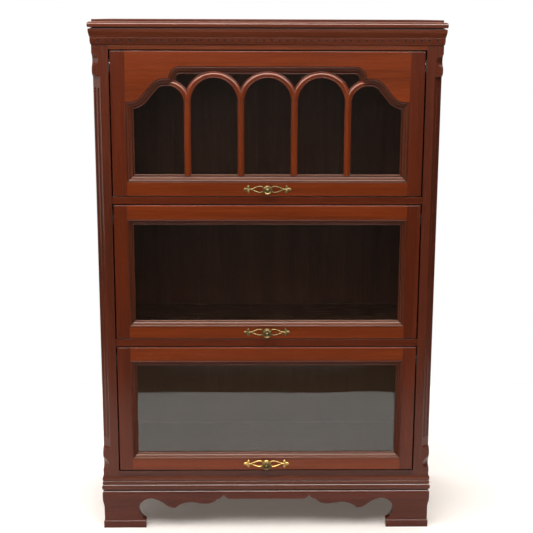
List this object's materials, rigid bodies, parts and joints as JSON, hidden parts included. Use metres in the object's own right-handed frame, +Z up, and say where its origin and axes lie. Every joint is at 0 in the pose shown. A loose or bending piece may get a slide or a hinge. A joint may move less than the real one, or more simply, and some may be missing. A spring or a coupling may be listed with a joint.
{
  "type": "barrister bookcase",
  "caption": "Stacked glass-fronted bookcase in carved hardwood; each compartment's door lifts up and slides back over the books; bracket-foot base and dentil cornice.",
  "frame": {"origin": "centre of the whole part's box at floor level", "axes": "+Z up, doors face -Y, +X to the right seen from the front"},
  "size_m": [0.873, 0.4, 1.322],
  "materials": {
    "case_wood": "satin lacquered cherry, vertical grain",
    "rail_wood": "satin lacquered cherry, darker",
    "door_wood": "satin lacquered cherry",
    "inner_wood": "matt stained secondary wood",
    "brass_aged": "antiqued",
    "brass_bright": "polished",
    "glass": "clear float glass",
    "nylon": "moulded, dark",
    "steel": "plain"
  },
  "bodies": {
    "case": {"post_left": "case_wood", "post_right": "case_wood", "side_panel_left": "case_wood", "side_panel_right": "case_wood", "back_panel": "inner_wood", "top_panel": "case_wood", "shelf_upper": "case_wood", "shelf_lower": "case_wood", "bottom_panel": "case_wood", "rail_top": "case_wood", "rail_upper": "rail_wood", "rail_lower": "rail_wood", "rail_bottom": "case_wood", "cornice_front": "case_wood", "cornice_returns": "case_wood", "dentil_front": "case_wood", "dentil_returns": "case_wood", "top_board": "case_wood", "base_moulding_front": "case_wood", "base_moulding_returns": "case_wood", "base_front": "case_wood", "base_left": "case_wood", "base_right": "case_wood", "base_back": "inner_wood", "base_corner_blocks": "inner_wood", "door_guides": "inner_wood"},
    "glides_bottom": {"glides_bottom": "nylon"},
    "door_bottom": {"door_bottom_stile_left": "door_wood", "door_bottom_stile_right": "door_wood", "door_bottom_rail_top": "door_wood", "door_bottom_rail_bottom": "door_wood", "door_bottom_sticking": "door_wood", "door_bottom_glass": "glass", "door_bottom_glazing_beads": "door_wood", "door_bottom_pull_plate": "brass_bright", "door_bottom_pull_knob": "brass_aged", "door_bottom_pivot_pins": "steel"},
    "glides_middle": {"glides_middle": "nylon"},
    "door_middle": {"door_middle_stile_left": "door_wood", "door_middle_stile_right": "door_wood", "door_middle_rail_top": "door_wood", "door_middle_rail_bottom": "door_wood", "door_middle_sticking": "door_wood", "door_middle_glass": "glass", "door_middle_glazing_beads": "door_wood", "door_middle_pull_plate": "brass_aged", "door_middle_pull_knob": "brass_aged", "door_middle_pivot_pins": "steel"},
    "glides_top": {"glides_top": "nylon"},
    "door_top": {"door_top_stile_left": "door_wood", "door_top_stile_right": "door_wood", "door_top_rail_top": "door_wood", "door_top_rail_bottom": "door_wood", "door_top_sticking": "door_wood", "door_top_glass": "glass", "door_top_glazing_beads": "door_wood", "door_top_pull_plate": "brass_aged", "door_top_pull_knob": "brass_aged", "door_top_pivot_pins": "steel", "door_top_glazing_bars": "door_wood"}
  },
  "joints": [
    {"name": "door_bottom_slide", "type": "slide", "parent": "case", "child": "glides_bottom", "axis": [0, 1, 0], "range_m": [0, 0.254]},
    {"name": "door_bottom_lift", "type": "hinge", "parent": "glides_bottom", "child": "door_bottom", "pos_m": [0, -0.168, 0.468], "axis": [-1, 0, 0], "range_deg": [0, 90]},
    {"name": "door_middle_slide", "type": "slide", "parent": "case", "child": "glides_middle", "axis": [0, 1, 0], "range_m": [0, 0.2645]},
    {"name": "door_middle_lift", "type": "hinge", "parent": "glides_middle", "child": "door_middle", "pos_m": [0, -0.168, 0.838], "axis": [-1, 0, 0], "range_deg": [0, 90]},
    {"name": "door_top_slide", "type": "slide", "parent": "case", "child": "glides_top", "axis": [0, 1, 0], "range_m": [0, 0.274]},
    {"name": "door_top_lift", "type": "hinge", "parent": "glides_top", "child": "door_top", "pos_m": [0, -0.168, 1.2175], "axis": [-1, 0, 0], "range_deg": [0, 90]}
  ]
}
